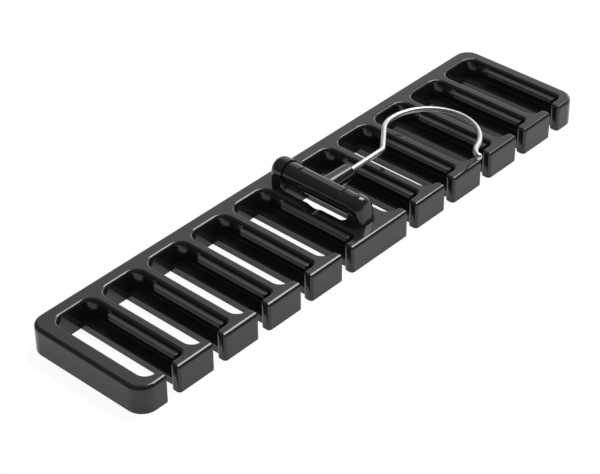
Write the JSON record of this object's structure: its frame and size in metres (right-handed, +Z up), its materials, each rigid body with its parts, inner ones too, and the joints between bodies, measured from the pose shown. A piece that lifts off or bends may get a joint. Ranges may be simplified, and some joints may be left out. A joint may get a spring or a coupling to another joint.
{
  "type": "tie hanger",
  "caption": "Flat tie hanger: a slotted black comb with hammer-headed fingers, soft grip strips and a plated wire hook on a folding hinge block across the middle.",
  "frame": {"origin": "middle of the comb's underside, below the hinge", "axes": "+X along the comb, the way the folded hook points; +Y towards the back rail; +Z up"},
  "size_m": [0.33, 0.0817, 0.029],
  "materials": {
    "comb_plastic": "glossy black, moulded",
    "cover_plastic": "glossy black, moulded",
    "grip_rubber": "satin black, moulded",
    "plated_wire": "bright plated, drawn wire",
    "pin_steel": "plain drawn steel"
  },
  "bodies": {
    "comb": {"comb_rail": "comb_plastic", "comb_end_left": "comb_plastic", "comb_finger_01": "comb_plastic", "comb_finger_02": "comb_plastic", "comb_finger_03": "comb_plastic", "comb_finger_04": "comb_plastic", "comb_centre": "comb_plastic", "comb_finger_05": "comb_plastic", "comb_finger_06": "comb_plastic", "comb_finger_07": "comb_plastic", "comb_finger_08": "comb_plastic", "comb_end_right": "comb_plastic", "hinge_pin": "pin_steel", "grip_strip_01": "grip_rubber", "grip_strip_02": "grip_rubber", "grip_strip_03": "grip_rubber", "grip_strip_04": "grip_rubber", "grip_strip_05": "grip_rubber", "grip_strip_06": "grip_rubber", "grip_strip_07": "grip_rubber", "grip_strip_08": "grip_rubber", "grip_strip_09": "grip_rubber", "grip_strip_10": "grip_rubber"},
    "hinge": {"hinge_block": "comb_plastic", "block_cover": "cover_plastic"},
    "hook": {"wire_hook": "plated_wire", "swivel_washer": "pin_steel"}
  },
  "joints": [
    {"name": "hook_fold", "type": "hinge", "parent": "comb", "child": "hinge", "pos_m": [0, 0, 0.0222], "axis": [0, -1, 0], "range_deg": [0, 180]},
    {"name": "hook_swivel", "type": "hinge", "parent": "hinge", "child": "hook", "pos_m": [0.0128, 0, 0.0222], "axis": [1, 0, 0], "range_deg": [-8, 8]}
  ]
}
